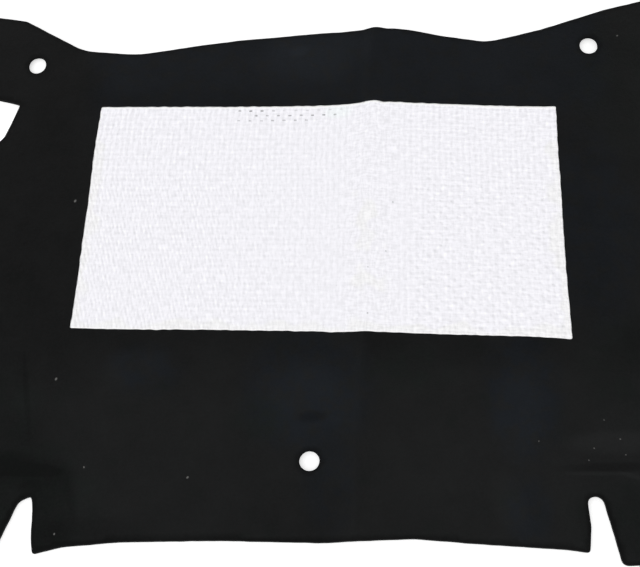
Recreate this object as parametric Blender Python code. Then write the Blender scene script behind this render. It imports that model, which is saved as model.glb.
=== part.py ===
"""Hood insulation pad: a cut felt pad with a sheet of embossed heat-shield foil bonded to its face.

Units are metres. The pad lies on its back, its clip holes level along X and its foil facing up.
The origin is under the middle of the pad, on the surface that it lies on.
"""
from math import acos, ceil, cos, pi, radians, sin, tan

import bmesh
import bpy
from mathutils import Matrix, Vector

# Felt pad
PAD_THICKNESS = 0.006
PAD_HALF_WIDTH = 0.490
PAD_HALF_DEPTH = 0.322
PAD_CORNER_RADIUS = 0.050
RIM_RADIUS = 0.002
RIM_SEGMENTS = 2

# Rear edge, from left to right: x, y and the radius of the bend there
REAR_EDGE = (
    (-0.3780, PAD_HALF_DEPTH, 0.060),
    (-0.3300, 0.3125, 0.015),
    (-0.2590, 0.2680, 0.060),
    (-0.1950, 0.2603, 0.090),
    (-0.1250, 0.2700, 0.100),
    (-0.0750, 0.2753, 0.150),
    (0.0150, 0.2793, 0.300),
    (0.0970, 0.2766, 0.080),
    (0.2030, 0.2592, 0.050),
    (0.2650, 0.2750, 0.100),
    (0.3400, 0.2990, 0.100),
    (0.4390, PAD_HALF_DEPTH, 0.060),
)

# Front edge between the two notches, from left to right: x, y and the radius of the bend there
FRONT_EDGE = (
    (-0.2665, -0.3032, 0.0),
    (-0.2400, -0.2968, 0.050),
    (-0.1850, -0.2930, 0.100),
    (-0.0850, -0.2930, 0.200),
    (0.0130, -0.2968, 0.150),
    (0.0990, -0.2943, 0.080),
    (0.1560, -0.2998, 0.060),
    (0.2400, -0.3065, 0.100),
    (0.2624, -0.3098, 0.0),
)

# Notches in the front edge, each from the foot of its inner side to the foot of its outer side
LEFT_NOTCH_TOP_Y = -0.2466
LEFT_NOTCH_SHOULDER_DROP = 0.0055
RIGHT_NOTCH_TOP_Y = -0.2571
LEG_CORNER_RADIUS = 0.006
LEFT_NOTCH = (
    (-0.2690, -0.2890, 0.010),
    (-0.2701, -0.2610, 0.010),
    (-0.2722, LEFT_NOTCH_TOP_Y, 0.0025),
    (-0.2853, LEFT_NOTCH_TOP_Y - LEFT_NOTCH_SHOULDER_DROP, 0.010),
    (-0.3138, -PAD_HALF_DEPTH, LEG_CORNER_RADIUS),
)
RIGHT_NOTCH = (
    (0.2658, -0.2860, 0.015),
    (0.2643, RIGHT_NOTCH_TOP_Y, 0.007),
    (0.2793, RIGHT_NOTCH_TOP_Y, 0.008),
    (0.2918, -PAD_HALF_DEPTH, LEG_CORNER_RADIUS),
)

# Window beside the left clip hole: x, y and the corner's radius
WINDOW = (
    (-0.3270, 0.2000, 0.003),
    (-0.3340, 0.1770, 0.040),
    (-0.3410, 0.1570, 0.020),
    (-0.3600, 0.1370, 0.020),
    (-0.4250, 0.1380, 0.020),
    (-0.4250, 0.2275, 0.012),
)

# Clip holes
CLIP_HOLE_RADIUS = 0.010
CLIP_HOLES = ((-0.3120, 0.2500), (0.3160, 0.2500), (0.0, -0.2180))

# Fold that runs from the rear edge to the front edge, where the pad was once folded in half
FOLD_X_REAR = 0.0795
FOLD_X_FRONT = 0.0410
FOLD_RISE_FRONT = 0.0030
FOLD_WIDTH_FRONT = 0.093
FOLD_CREST_HALF_WIDTH = 0.018
FOLD_LENGTHS = 10

# Section of the fold at the rear edge: distance from the crest and rise
FOLD_SECTION = (
    (-0.110, 0.0),
    (-0.070, 0.0015),
    (-0.045, 0.0034),
    (-0.028, 0.0057),
    (-0.016, 0.0084),
    (-0.007, 0.0123),
    (0.000, 0.0140),
    (0.009, 0.0125),
    (0.018, 0.0106),
    (0.036, 0.0087),
    (0.060, 0.0070),
    (0.100, 0.0039),
    (0.155, 0.0),
)

# Rolled crease across the root of each leg, with a groove along its front side
CREASE_ROLL_Y = -0.208
CREASE_ROLL_HALF_WIDTH = 0.016
CREASE_ROLL_RISE = 0.003
CREASE_GROOVE_HALF_WIDTH = 0.005
CREASE_GROOVE_DEPTH = 0.0012
CREASE_INNER_X = 0.238
CREASE_FADE = 0.024

# Low swell behind the middle clip hole
SWELL_X = -0.001
SWELL_Y = -0.158
SWELL_RADIUS = 0.044
SWELL_RISE = 0.0022
SWELL_CELLS = 6

# Foil sheet
FOIL_WIDTH = 0.510
FOIL_DEPTH = 0.2685
FOIL_THICKNESS = 0.0008
FOIL_CENTRE = (0.0138, 0.0493)
FOIL_TURN = radians(-2.265)
FOIL_CORNER_RADIUS = 0.0015
FOIL_GAP = 0.0003
EMBOSS_PITCH = 0.00635
EMBOSS_RISE = 0.00035
EMBOSS_RISE_ON_FOLD = 0.0001

# Finish and accuracy
FELT_COLOUR = (0.012, 0.012, 0.013, 1.0)
FELT_ROUGHNESS = 0.95
FOIL_COLOUR = (0.90, 0.90, 0.92, 1.0)
FOIL_ROUGHNESS = 0.30
ARC_SAG = 0.00015
WELD_DISTANCE = 0.00001
SCORE_SNAP = 0.00005
COLLECTION_NAME = "hood_insulation_pad"


def clear_scene():
    for old in list(bpy.data.objects):
        bpy.data.objects.remove(old, do_unlink=True)


def make_collection(name):
    collection = bpy.data.collections.new(name)
    bpy.context.scene.collection.children.link(collection)
    return collection


def principled(name, colour, roughness, metallic):
    material = bpy.data.materials.new(name)
    material.use_nodes = True
    shader = material.node_tree.nodes["Principled BSDF"]
    shader.inputs["Base Color"].default_value = colour
    shader.inputs["Roughness"].default_value = roughness
    shader.inputs["Metallic"].default_value = metallic
    material.diffuse_color = colour
    return material


def arc_steps(radius, sweep):
    """Segments that keep an arc's chords within ARC_SAG of it."""
    if radius <= ARC_SAG:
        return 1
    return max(1, ceil(sweep / (2 * acos(1 - ARC_SAG / radius))))


def rounded_corner(before, corner, after, radius):
    """Points of one corner of an outline, rounded to the radius where its sides are long enough."""
    to_before = before - corner
    to_after = after - corner
    half_angle = to_before.angle(to_after) / 2
    longest_tangent = 0.49 * min(to_before.length, to_after.length)
    radius = min(radius, longest_tangent * tan(half_angle))
    if radius <= WELD_DISTANCE:
        return [corner]
    middle = (to_before.normalized() + to_after.normalized()).normalized()
    centre = corner + middle * (radius / sin(half_angle))
    start = corner + to_before.normalized() * (radius / tan(half_angle)) - centre
    turn = start.angle_signed(corner + to_after.normalized() * (radius / tan(half_angle)) - centre)
    steps = arc_steps(radius, abs(turn))
    return [centre + Matrix.Rotation(-turn * step / steps, 2) @ start for step in range(steps + 1)]


def rounded_outline(corners):
    """Closed outline from corners given as x, y and radius."""
    places = [Vector((x, y)) for x, y, _ in corners]
    points = []
    for index, (_, _, radius) in enumerate(corners):
        before = places[index - 1]
        after = places[(index + 1) % len(places)]
        points.extend(rounded_corner(before, places[index], after, radius))
    return points


def circle(centre, radius):
    steps = arc_steps(radius, 2 * pi)
    angles = [2 * pi * step / steps for step in range(steps)]
    return [Vector((centre[0] + radius * cos(a), centre[1] + radius * sin(a))) for a in angles]


def pad_outline():
    """Outer edge of the pad, clockwise from its left rear corner."""
    left_rear = (-PAD_HALF_WIDTH, PAD_HALF_DEPTH, PAD_CORNER_RADIUS)
    right_rear = (PAD_HALF_WIDTH, PAD_HALF_DEPTH, PAD_CORNER_RADIUS)
    right_front = (PAD_HALF_WIDTH, -PAD_HALF_DEPTH, PAD_CORNER_RADIUS)
    left_front = (-PAD_HALF_WIDTH, -PAD_HALF_DEPTH, PAD_CORNER_RADIUS)
    corners = [left_rear, *REAR_EDGE, right_rear, right_front]
    corners += reversed(RIGHT_NOTCH)
    corners += reversed(FRONT_EDGE)
    corners += LEFT_NOTCH
    corners += [left_front]
    return rounded_outline(corners)


def slab(name, outlines, thickness, collection):
    """Flat slab on Z = 0, from a filled 2D curve made a closed mesh."""
    curve = bpy.data.curves.new(name, "CURVE")
    curve.dimensions = "2D"
    curve.fill_mode = "BOTH"
    curve.extrude = thickness / 2
    for outline in outlines:
        spline = curve.splines.new("POLY")
        spline.points.add(len(outline) - 1)
        for point, place in zip(spline.points, outline):
            point.co = (place.x, place.y, 0, 1)
        spline.use_cyclic_u = True
    guide = bpy.data.objects.new(name + "_outline", curve)
    collection.objects.link(guide)
    bpy.context.view_layer.update()
    mesh = bpy.data.meshes.new_from_object(guide.evaluated_get(bpy.context.evaluated_depsgraph_get()))
    mesh.transform(Matrix.Translation((0, 0, thickness / 2)))
    bpy.data.objects.remove(guide, do_unlink=True)
    bpy.data.curves.remove(curve)
    solid = bmesh.new()
    solid.from_mesh(mesh)
    bpy.data.meshes.remove(mesh)
    bmesh.ops.remove_doubles(solid, verts=solid.verts, dist=WELD_DISTANCE)
    bmesh.ops.recalc_face_normals(solid, faces=solid.faces)
    return solid


def is_flat(face):
    return abs(face.normal.z) > 0.99


def round_rim(solid, thickness):
    """Round both edges of every cut side of a flat slab."""
    largest_radius = 0.45 * thickness
    radius = min(RIM_RADIUS, largest_radius)
    corners = [edge for edge in solid.edges if len({is_flat(face) for face in edge.link_faces}) == 2]
    bmesh.ops.bevel(
        solid, geom=corners, offset=radius, segments=RIM_SEGMENTS, profile=0.5,
        affect="EDGES", clamp_overlap=False, material=-1,
    )


def score(solid, place, normal, within=None):
    """Cut a line of vertices across the faces, or across those whose centre is within a zone."""
    faces = [face for face in solid.faces if within is None or within(face)]
    edges = {edge for face in faces for edge in face.edges}
    verts = {vert for face in faces for vert in face.verts}
    bmesh.ops.bisect_plane(
        solid, geom=[*verts, *edges, *faces], dist=SCORE_SNAP, plane_co=place, plane_no=normal,
    )


def front_spread():
    """Width of the fold's section at the front edge, as a share of its width at the rear edge."""
    return FOLD_WIDTH_FRONT / (FOLD_SECTION[-1][0] - FOLD_SECTION[0][0])


def front_height():
    """Rise of the crest at the front edge, as a share of its rise at the rear edge."""
    return FOLD_RISE_FRONT / max(rise for _, rise in FOLD_SECTION)


def along_fold(y, front, rear):
    """A value between those at the front and rear edges, at one place along Y."""
    return front + (rear - front) * (y + PAD_HALF_DEPTH) / (2 * PAD_HALF_DEPTH)


def fold_offset(x, y):
    """Distance from the crest, as the section at the rear edge measures it."""
    crest_x = along_fold(y, FOLD_X_FRONT, FOLD_X_REAR)
    return (x - crest_x) / along_fold(y, front_spread(), 1.0)


def section_rise(offset):
    """Rise of the section at the rear edge, at a distance from the crest."""
    for (left, left_rise), (right, right_rise) in zip(FOLD_SECTION, FOLD_SECTION[1:]):
        if left <= offset <= right:
            return left_rise + (right_rise - left_rise) * (offset - left) / (right - left)
    return 0.0


def hump(distance, half_width):
    """Smooth hump, 1 in the middle and 0 past its half width."""
    if abs(distance) >= half_width:
        return 0.0
    return 0.5 + 0.5 * cos(pi * distance / half_width)


def fold_rise(x, y):
    return along_fold(y, front_height(), 1.0) * section_rise(fold_offset(x, y))


def groove_y():
    return CREASE_ROLL_Y - CREASE_ROLL_HALF_WIDTH - CREASE_GROOVE_HALF_WIDTH


def crease_share(x):
    """0 between the creases, 1 along them, on both sides of the pad."""
    return min(1.0, max(0.0, (abs(x) - CREASE_INNER_X) / CREASE_FADE))


def relief(x, y):
    """Height that the flat pad is raised by at a point, or lowered by in the grooves."""
    roll = CREASE_ROLL_RISE * hump(y - CREASE_ROLL_Y, CREASE_ROLL_HALF_WIDTH)
    groove = CREASE_GROOVE_DEPTH * hump(y - groove_y(), CREASE_GROOVE_HALF_WIDTH)
    from_swell = Vector((x - SWELL_X, y - SWELL_Y)).length
    swell = SWELL_RISE * hump(from_swell, SWELL_RADIUS)
    return fold_rise(x, y) + swell + crease_share(x) * (roll - groove)


def score_fold(solid, to_local):
    """Lines along the fold, one for each bend of its section, and lines across it."""
    turn = to_local.to_3x3()
    for offset, _ in FOLD_SECTION:
        rear = Vector((FOLD_X_REAR + offset, PAD_HALF_DEPTH, 0))
        front = Vector((FOLD_X_FRONT + offset * front_spread(), -PAD_HALF_DEPTH, 0))
        along = rear - front
        score(solid, to_local @ front, turn @ Vector((along.y, -along.x, 0)).normalized())
    to_world = to_local.inverted()

    def on_fold(face):
        centre = to_world @ face.calc_center_median()
        return FOLD_SECTION[0][0] < fold_offset(centre.x, centre.y) < FOLD_SECTION[-1][0]

    for line in range(1, FOLD_LENGTHS):
        y = PAD_HALF_DEPTH * (2 * line / FOLD_LENGTHS - 1)
        score(solid, to_local @ Vector((0, y, 0)), turn @ Vector((0, 1, 0)), on_fold)


def score_creases(solid):
    """Lines along the leg creases and their grooves, and where they fade out."""
    back = CREASE_ROLL_Y + CREASE_ROLL_HALF_WIDTH
    front = groove_y() - CREASE_GROOVE_HALF_WIDTH
    score(solid, (0, back, 0), (0, 1, 0))
    score(solid, (0, front, 0), (0, 1, 0))

    def in_band(face):
        return front < face.calc_center_median().y < back

    for side in (-1, 1):
        for x in (CREASE_INNER_X, CREASE_INNER_X + CREASE_FADE):
            score(solid, (side * x, 0, 0), (1, 0, 0), in_band)

    def on_crease(face):
        return in_band(face) and abs(face.calc_center_median().x) > CREASE_INNER_X

    half = CREASE_ROLL_HALF_WIDTH / 2
    lines = [CREASE_ROLL_Y + step * half for step in (1, 0, -1, -2)]
    for y in (*lines, groove_y()):
        score(solid, (0, y, 0), (0, 1, 0), on_crease)


def score_swell(solid):
    """A small net of lines over the swell."""
    def in_rows(face):
        return abs(face.calc_center_median().y - SWELL_Y) < SWELL_RADIUS

    def on_swell(face):
        return in_rows(face) and abs(face.calc_center_median().x - SWELL_X) < SWELL_RADIUS

    for side in (-1, 1):
        score(solid, (0, SWELL_Y + side * SWELL_RADIUS, 0), (0, 1, 0))
    for side in (-1, 1):
        score(solid, (SWELL_X + side * SWELL_RADIUS, 0, 0), (1, 0, 0), in_rows)
    for line in range(1, SWELL_CELLS):
        offset = SWELL_RADIUS * (2 * line / SWELL_CELLS - 1)
        score(solid, (SWELL_X + offset, 0, 0), (1, 0, 0), on_swell)
        score(solid, (0, SWELL_Y + offset, 0), (0, 1, 0), on_swell)


def finish_object(name, solid, material, collection):
    bmesh.ops.triangulate(solid, faces=solid.faces)
    mesh = bpy.data.meshes.new(name)
    solid.to_mesh(mesh)
    solid.free()
    mesh.materials.append(material)
    part = bpy.data.objects.new(name, mesh)
    collection.objects.link(part)
    return part


def make_pad(collection):
    holes = [circle(centre, CLIP_HOLE_RADIUS) for centre in CLIP_HOLES]
    outlines = [pad_outline(), rounded_outline(WINDOW), *holes]
    solid = slab("pad", outlines, PAD_THICKNESS, collection)
    round_rim(solid, PAD_THICKNESS)
    score_fold(solid, Matrix.Identity(4))
    score_creases(solid)
    score_swell(solid)
    for vert in solid.verts:
        rise = relief(vert.co.x, vert.co.y)
        share = 1.0 if rise > 0 else vert.co.z / PAD_THICKNESS
        vert.co.z += rise * share
    felt = principled("black_felt", FELT_COLOUR, FELT_ROUGHNESS, 0.0)
    return finish_object("felt_pad", solid, felt, collection)


def emboss(x, y, fold_share):
    """Height of the embossing, up and down in turn at each crossing of its lattice."""
    rise = EMBOSS_RISE + (EMBOSS_RISE_ON_FOLD - EMBOSS_RISE) * fold_share
    return rise * cos(pi * x / EMBOSS_PITCH) * cos(pi * y / EMBOSS_PITCH)


def score_lattice(solid):
    """Lines of the embossing's lattice, on the upper face alone."""
    def is_upper(face):
        return is_flat(face) and face.normal.z > 0

    for extent, axis in ((FOIL_WIDTH, Vector((1, 0, 0))), (FOIL_DEPTH, Vector((0, 1, 0)))):
        lines = int(extent / 2 / EMBOSS_PITCH)
        for line in range(-lines, lines + 1):
            score(solid, axis * (line * EMBOSS_PITCH), axis, is_upper)


def make_foil(collection):
    half_width = FOIL_WIDTH / 2
    half_depth = FOIL_DEPTH / 2
    ends = ((-half_width, -half_depth), (-half_width, half_depth),
            (half_width, half_depth), (half_width, -half_depth))
    corners = [(x, y, FOIL_CORNER_RADIUS) for x, y in ends]
    solid = slab("foil", [rounded_outline(corners)], FOIL_THICKNESS, collection)
    base = Vector((*FOIL_CENTRE, PAD_THICKNESS + FOIL_GAP))
    to_world = Matrix.Translation(base) @ Matrix.Rotation(FOIL_TURN, 4, "Z")
    score_lattice(solid)
    score_fold(solid, to_world.inverted())
    for vert in solid.verts:
        place = to_world @ vert.co
        on_top = vert.co.z > FOIL_THICKNESS / 2
        fold_share = hump(fold_offset(place.x, place.y), FOLD_CREST_HALF_WIDTH)
        rise = relief(place.x, place.y)
        if on_top:
            rise += emboss(vert.co.x, vert.co.y, fold_share)
        vert.co.z += rise
    foil = principled("bright_foil", FOIL_COLOUR, FOIL_ROUGHNESS, 1.0)
    sheet = finish_object("heat_shield_foil", solid, foil, collection)
    sheet.location = base
    sheet.rotation_euler = (0, 0, FOIL_TURN)
    return sheet


def main():
    clear_scene()
    collection = make_collection(COLLECTION_NAME)
    pad = make_pad(collection)
    foil = make_foil(collection)
    origin = bpy.data.objects.new("pad_origin", None)
    collection.objects.link(origin)
    for part in (pad, foil):
        part.parent = origin
    bpy.context.view_layer.update()


main()
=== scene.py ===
"""Hood insulation pad, dressed: black needled felt with a bonded sheet of embossed heat-shield foil.

Units are metres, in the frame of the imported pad: X to the right, Y to the rear, Z up from the floor.
"""
from math import ceil, cos, hypot, pi, radians, sin

import bmesh
import bpy
from bpy.props import (
    FloatProperty,
    FloatVectorProperty,
    PointerProperty,
)
from mathutils import Matrix, Vector, noise
from mathutils.bvhtree import BVHTree
from mathutils.kdtree import KDTree


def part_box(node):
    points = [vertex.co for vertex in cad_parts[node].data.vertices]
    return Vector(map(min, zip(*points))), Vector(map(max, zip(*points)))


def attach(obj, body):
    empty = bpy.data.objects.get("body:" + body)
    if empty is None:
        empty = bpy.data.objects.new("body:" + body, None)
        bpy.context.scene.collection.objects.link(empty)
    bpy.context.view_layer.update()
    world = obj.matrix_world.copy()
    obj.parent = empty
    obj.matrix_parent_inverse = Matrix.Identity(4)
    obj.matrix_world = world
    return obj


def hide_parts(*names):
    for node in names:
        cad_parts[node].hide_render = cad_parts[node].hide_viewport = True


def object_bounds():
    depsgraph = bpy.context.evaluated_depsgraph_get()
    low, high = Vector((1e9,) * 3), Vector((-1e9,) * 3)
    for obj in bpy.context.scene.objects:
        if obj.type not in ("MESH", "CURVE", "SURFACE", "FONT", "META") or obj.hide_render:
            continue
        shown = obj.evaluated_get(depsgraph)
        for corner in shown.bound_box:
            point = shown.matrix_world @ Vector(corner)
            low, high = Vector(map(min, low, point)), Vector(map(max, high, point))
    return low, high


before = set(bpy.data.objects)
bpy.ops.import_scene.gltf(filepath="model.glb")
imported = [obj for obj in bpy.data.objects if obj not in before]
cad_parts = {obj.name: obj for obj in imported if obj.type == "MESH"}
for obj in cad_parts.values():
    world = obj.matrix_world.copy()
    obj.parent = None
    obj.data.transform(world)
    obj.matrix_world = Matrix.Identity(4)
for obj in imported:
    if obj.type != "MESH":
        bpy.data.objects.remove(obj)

bl_info = {
    "name": "Hood insulation pad",
    "version": (1, 0, 0),
    "blender": (4, 5, 0),
    "location": "View3D > Sidebar > Hood pad",
    "description": "Makes the felt pad, its heat-shield foil and a plain studio around them",
    "category": "Object",
}

PACKED_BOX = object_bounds()
PAD_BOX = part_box("felt_pad")
FOIL_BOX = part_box("heat_shield_foil")

# Shipping fold: distance from the middle along Y, the crest's place along X and its rise
FOLD_TRACK = (
    (-0.330, 0.0430, 0.0030),
    (-0.218, 0.0470, 0.0042),
    (-0.140, 0.0530, 0.0066),
    (-0.085, 0.0600, 0.0084),
    (0.065, 0.0620, 0.0104),
    (0.190, 0.0715, 0.0122),
    (0.330, 0.0800, 0.0136),
)
FOLD_BROAD_SHARE = 0.72
FOLD_LEFT_REACH = 0.032
FOLD_RIGHT_REACH = 0.084
FOLD_LEFT_END = 0.160
FOLD_RIGHT_END = 0.200
FOLD_CREST_HALF_WIDTH = 0.016
FOLD_FADE_START = 0.45

# How narrow the fold is at the front, as a share, and between which shares of the depth it widens
FOLD_FRONT_SPREAD = 0.40
FOLD_SPREAD_RANGE = (-0.1, 0.75)

# Shoulder beside the fold at the rear edge: its place along X, half width, rise, and where it starts
SHOULDER = (0.116, 0.042, 0.0044, 0.215)

# How much closer the felt's mesh is at the fold, and how far that reaches
NET_CLOSER = 0.45
NET_CLOSER_REACH = 0.090

# Creases across the roots of the legs: the line that each rolls along, from the side to its inner end
LEFT_CREASE = (
    (-0.500, -0.203), (-0.320, -0.203), (-0.285, -0.207),
    (-0.262, -0.214), (-0.244, -0.226), (-0.234, -0.244),
)
RIGHT_CREASE = ((0.500, -0.2085), (0.330, -0.2080), (0.285, -0.2070), (0.254, -0.2070))
CREASE_ROLL_HALF_WIDTH = 0.016
CREASE_GROOVE_OFFSET = 0.021
CREASE_GROOVE_HALF_WIDTH = 0.006
CREASE_LIP_OFFSET = 0.0315
CREASE_LIP_HALF_WIDTH = 0.0065
CREASE_LIP_SHARE = 0.25
CREASE_FADE = 0.026
CREASE_REACH = 0.040

# Faint crease beside the left leg
SIDE_CREASE = ((-0.294, -0.090), (-0.291, -0.129), (-0.286, -0.171), (-0.278, -0.192))
SIDE_CREASE_HALF_WIDTH = 0.005
SIDE_CREASE_DEPTH = 0.0004

# Clip holes: their middles and how far the felt is pressed thin around them
CLIP_HOLES = ((-0.3120, 0.2500), (0.3160, 0.2500), (0.0, -0.2180))
HOLE_PRESS_REACH = 0.030

# The rear clip holes are a little longer than wide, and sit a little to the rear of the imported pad's
REAR_HOLE_REACH = 0.014
REAR_HOLE_STRETCH = 1.10
REAR_HOLE_SHIFT = 0.0006

# Swell behind the middle clip hole: its middle and radius
SWELL = (-0.001, -0.158, 0.046)

# Dimple in the swell: its middle, half its width, half its length front to rear, and its depth
DIMPLE = (0.003, -0.175, 0.013, 0.006, 0.0009)

# Slow waves along X and Y, and lumps in the thickness, in turns of the noise for each metre
WAVES = (5.5, 6.5)
LUMPS = 38

# Cut edges: distances under which points, flattened corners and facets are merged, how often the line is
# smoothed, and the scale of its rags
SAME_POINT = 0.00001
SAME_CORNER = 0.00002
SHORT_FACET = 0.0004
CUT_ROUNDING_PASSES = 2
RAGS = 90

# Faces whose normals rise less than the first are upright, and those that rise more than the second are level
UPRIGHT_BELOW = 0.1
LEVEL_ABOVE = 0.999

# Strip between the cut edges and the felt's net, beyond the rounding, as a share of the net's pitch
NET_MARGIN_SHARE = 0.6

# How far the foil's hand-cut sides lie off a true rectangle: place along the side, and shift across it
FOIL_REAR_SIDE = (
    (-0.255, -0.0025), (-0.030, -0.0018), (0.030, -0.0017), (0.075, -0.0006),
    (0.110, -0.0009), (0.200, -0.0015), (0.255, -0.0015),
)
FOIL_FRONT_SIDE = (
    (-0.255, 0.0012), (-0.225, 0.0005), (-0.165, 0.0005), (-0.110, 0.0012), (-0.030, 0.0010),
    (0.055, -0.0010), (0.150, -0.0012), (0.212, -0.0014), (0.230, -0.0027), (0.255, -0.0038),
)
FOIL_LEFT_SIDE = (
    (-0.134, -0.0013), (-0.109, -0.0005), (-0.090, 0.0), (-0.030, 0.0004), (0.010, 0.0010),
    (0.080, 0.0008), (0.107, 0.0018), (0.134, 0.0028),
)
FOIL_RIGHT_SIDE = (
    (-0.134, 0.0020), (-0.103, 0.0013), (-0.073, 0.0002), (-0.030, -0.0006), (0.040, -0.0008),
    (0.085, -0.0016), (0.134, -0.0014),
)

# The rows of the embossing run off towards the front on the right: from where, and how steeply
ROW_DROP_FROM = 0.085
ROW_DROP = 0.014

# Squares of the foil's net to each pitch of the embossing, how much weaker the embossing is in patches and on
# the fold, and between which distances from the fold's crest it comes back
CELLS_PER_PITCH = 3
EMBOSS_PATCHES = 9
EMBOSS_PATCH_LOSS = 0.35
EMBOSS_FOLD_LOSS = 0.85
EMBOSS_FOLD_RANGE = (0.014, 0.034)

# Crumples on the fold, along X and Y, and the finer ones among them
CRUMPLES = (60, 34)
FINER_CRUMPLES = 2.7

# How far the foil's points stray from their even net, so that its cut edge isn't straight
STRAY = 0.0006
STRAY_SCALE = 110
STRAY_SHIFT = Vector((7, 3, 9))

# Place on the foil before it is cut and laid, and 1 along the felt's cut edges, where painted shade darkens
# the felt, and 0 elsewhere
SHEET_MAP = "sheet"
RIM_SHADE_MAP = "rim"

FLOOR_HALF_SIZE = 6
FLOOR_GAP = 0.0003


def hump(distance, half_width):
    """Smooth hump, 1 in the middle and 0 past its half width."""
    if abs(distance) >= half_width:
        return 0.0
    return 0.5 + 0.5 * cos(pi * distance / half_width)


def smooth(value, low, high):
    """0 below the low value, 1 above the high one, with a soft start and end."""
    share = min(1.0, max(0.0, (value - low) / (high - low)))
    return share * share * (3 - 2 * share)


def read_off(rows, place, soft=False):
    """The values at a place along rows that each start with their own place, straight or softened."""
    place = min(max(place, rows[0][0]), rows[-1][0])
    for (low, *before), (high, *after) in zip(rows, rows[1:]):
        if place <= high:
            break
    share = smooth(place, low, high) if soft else (place - low) / (high - low)
    return [a + (b - a) * share for a, b in zip(before, after)]


def track(y):
    """The fold's crest along X and its rise, at a place along Y."""
    return read_off(FOLD_TRACK, y, soft=True)


def fold_offset(x, y):
    """Distance from the fold's crest, stretched towards the front, where the fold is narrower."""
    share = smooth((y - PAD_BOX[0].y) / (PAD_BOX[1].y - PAD_BOX[0].y), *FOLD_SPREAD_RANGE)
    return (x - track(y)[0]) / (FOLD_FRONT_SPREAD + (1 - FOLD_FRONT_SPREAD) * share)


def fold_lift(x, y):
    """Rise of the pad at the fold: a broad rise, the crest on it, and the shoulder beside it."""
    offset = fold_offset(x, y)
    reach, end = (FOLD_LEFT_REACH, FOLD_LEFT_END) if offset < 0 else (FOLD_RIGHT_REACH, FOLD_RIGHT_END)
    broad = (1 - smooth(abs(offset), FOLD_FADE_START * end, end)) / (1 + (offset / reach) ** 2)
    crest = hump(offset, FOLD_CREST_HALF_WIDTH)
    middle, half_width, rise, start = SHOULDER
    shoulder = rise * hump(x - middle, half_width) * smooth(y, start, PAD_BOX[1].y)
    return track(y)[1] * (FOLD_BROAD_SHARE * broad + (1 - FOLD_BROAD_SHARE) * crest) + shoulder


def beside(x, y, line):
    """How far a place lies from a line of points, to the rear as a plus, and from the line's last end."""
    place = Vector((x, y))
    best = None
    left = sum((Vector(b) - Vector(a)).length for a, b in zip(line, line[1:]))
    for start, end in zip(line, line[1:]):
        start, end = Vector(start), Vector(end)
        along = end - start
        share = min(1.0, max(0.0, (place - start).dot(along) / along.length_squared))
        away = place - (start + along * share)
        if best is None or away.length < abs(best[0]):
            side = 1 if away.y > 0 else -1
            best = (side * away.length, left - along.length * share)
        left -= along.length
    return best


def crease_profile(distance, settings):
    """Rise of the sheet and depth of the groove in its top, across a leg's crease."""
    roll = settings.crease_rise * hump(distance, CREASE_ROLL_HALF_WIDTH)
    lip = CREASE_LIP_SHARE * settings.crease_rise * hump(distance + CREASE_LIP_OFFSET, CREASE_LIP_HALF_WIDTH)
    groove = settings.groove_depth * hump(distance + CREASE_GROOVE_OFFSET, CREASE_GROOVE_HALF_WIDTH)
    return roll + lip, groove


def is_near(x, y, line, reach):
    """Whether a place is in the box around a line, or within reach of that box."""
    across, along = zip(*line)
    in_width = min(across) - reach < x < max(across) + reach
    return in_width and min(along) - reach < y < max(along) + reach


def creases(x, y, settings):
    """Rise of the sheet and depth of the grooves in its top, at the legs' creases and the side crease."""
    rise = groove = 0.0
    line = LEFT_CREASE if x < 0 else RIGHT_CREASE
    if is_near(x, y, line, CREASE_REACH):
        distance, from_end = beside(x, y, line)
        share = smooth(from_end, 0.0, CREASE_FADE)
        roll, depth = crease_profile(distance, settings)
        rise, groove = roll * share, depth * share
    if is_near(x, y, SIDE_CREASE, SIDE_CREASE_HALF_WIDTH):
        distance = beside(x, y, SIDE_CREASE)[0]
        groove += SIDE_CREASE_DEPTH * hump(distance, SIDE_CREASE_HALF_WIDTH)
    return rise, groove


def lift(x, y, settings):
    """Height of the pad's underside off the floor."""
    swell_x, swell_y, swell_radius = SWELL
    swell = settings.swell_rise * hump(hypot(x - swell_x, y - swell_y), swell_radius)
    wave = settings.wave_rise * max(0.0, noise.noise(Vector((x * WAVES[0], y * WAVES[1], 0.7))) + 0.05)
    return fold_lift(x, y) + swell + wave + creases(x, y, settings)[0]


def top_detail(x, y, settings):
    """Unevenness of the pad's thickness."""
    dimple_x, dimple_y, half_width, half_length, depth = DIMPLE
    dimple = depth * hump(hypot((x - dimple_x) / half_width, (y - dimple_y) / half_length), 1.0)
    lumps = noise.fractal(Vector((x * LUMPS, y * LUMPS, 3.1)), 0.8, 2.0, 3)
    return settings.lump_rise * lumps - dimple - creases(x, y, settings)[1]


def hole_press(x, y):
    """1 at the middle of a clip hole and 0 past the reach of its pressed surround."""
    return max(hump(hypot(x - hole_x, y - hole_y), HOLE_PRESS_REACH) for hole_x, hole_y in CLIP_HOLES)


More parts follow.
